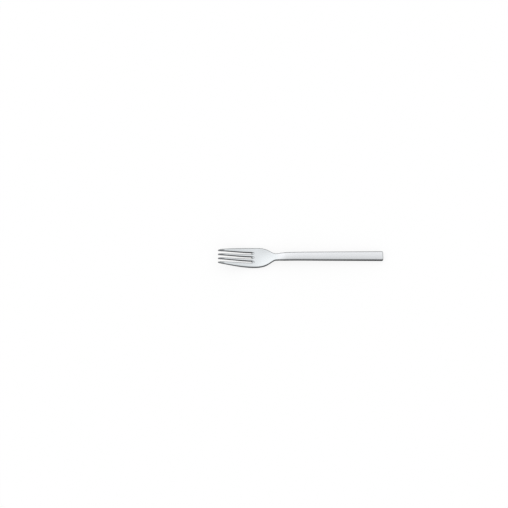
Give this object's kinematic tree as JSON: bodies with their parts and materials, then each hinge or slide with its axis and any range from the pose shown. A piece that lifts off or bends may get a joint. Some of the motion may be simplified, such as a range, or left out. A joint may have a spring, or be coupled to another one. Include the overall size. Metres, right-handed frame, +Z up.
{
  "type": "pastry fork",
  "caption": "Pastry fork with slender equal tines, a shallow bowl, a narrow neck and a straight square-ended hollow handle, for lifting small bites of cake.",
  "frame": {"origin": "on the table plane, under the middle of the fork's length and width", "axes": "+Z up, +X from the tines to the end of the handle, +Y to the left seen from the handle's end towards the tines"},
  "size_m": [0.155, 0.019, 0.0107],
  "materials": {
    "blank_steel": "polished stainless steel, faintly grained",
    "handle_steel": "polished stainless steel, faintly grained along the handle",
    "braze": "silver brazing metal, ground flush and polished",
    "filler": "hard cast filling, hidden inside the handle"
  },
  "bodies": {
    "root": {"fork_blank": "blank_steel", "handle_upper_shell": "handle_steel", "handle_lower_shell": "handle_steel", "neck_braze": "braze", "seam_braze": "braze", "handle_filler": "filler"}
  },
  "joints": []
}
